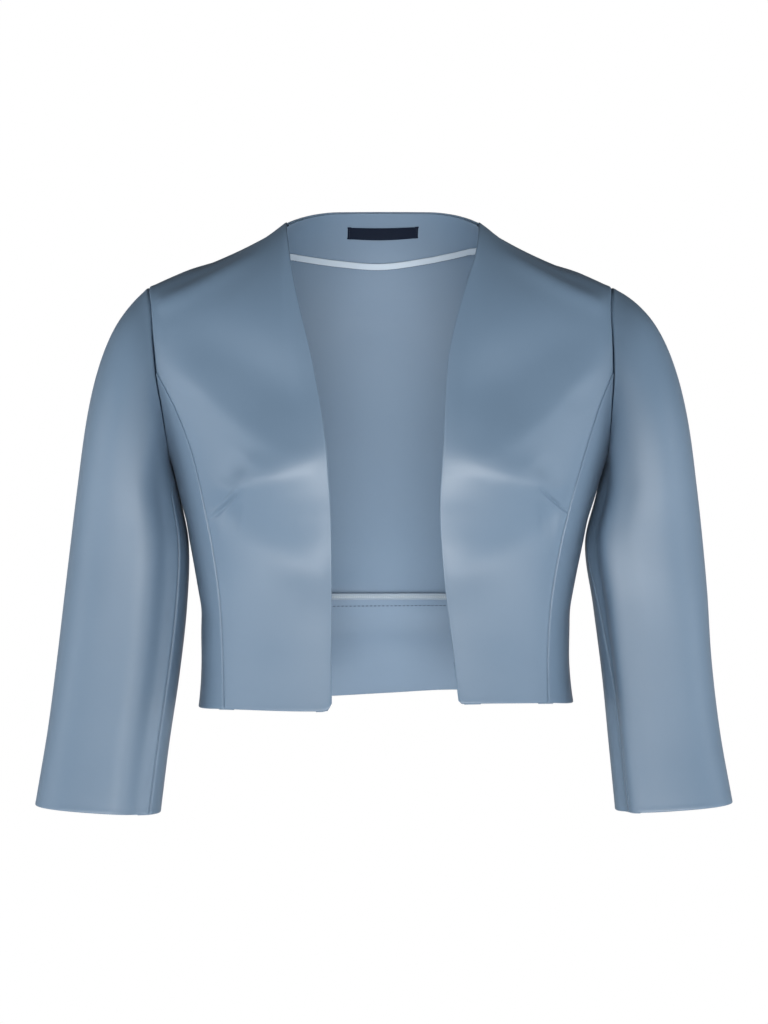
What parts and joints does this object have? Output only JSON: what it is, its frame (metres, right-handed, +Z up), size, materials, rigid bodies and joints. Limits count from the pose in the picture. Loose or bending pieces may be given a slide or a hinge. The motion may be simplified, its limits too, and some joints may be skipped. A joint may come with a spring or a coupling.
{
  "type": "bolero jacket",
  "caption": "Short collarless open-front satin jacket with a raised back neck, princess seams and straight three-quarter sleeves, filled out as worn.",
  "frame": {"origin": "midway between the shoulder seams, at the height where each shoulder seam meets the neck, where a wearer's shoulders carry the jacket", "axes": "+Z up the wearer, +X towards the wearer's left sleeve, -Y out of the open front"},
  "size_m": [0.5838, 0.2138, 0.512],
  "materials": {
    "satin": "smooth heavy satin, dusty blue, soft broad sheen",
    "satin_reverse": "the same satin as a facing, softer sheen",
    "binding": "pale blue satin bias tape, glossy",
    "label": "dark navy woven label, matt, no lettering"
  },
  "bodies": {
    "root": {"front_right": "satin", "front_left": "satin", "side_right": "satin", "side_left": "satin", "back": "satin", "sleeve_right": "satin", "sleeve_left": "satin", "neck_facing": "satin_reverse", "hem_facing": "satin_reverse", "neck_binding": "binding", "hem_binding": "binding", "neck_label": "label"}
  },
  "joints": []
}
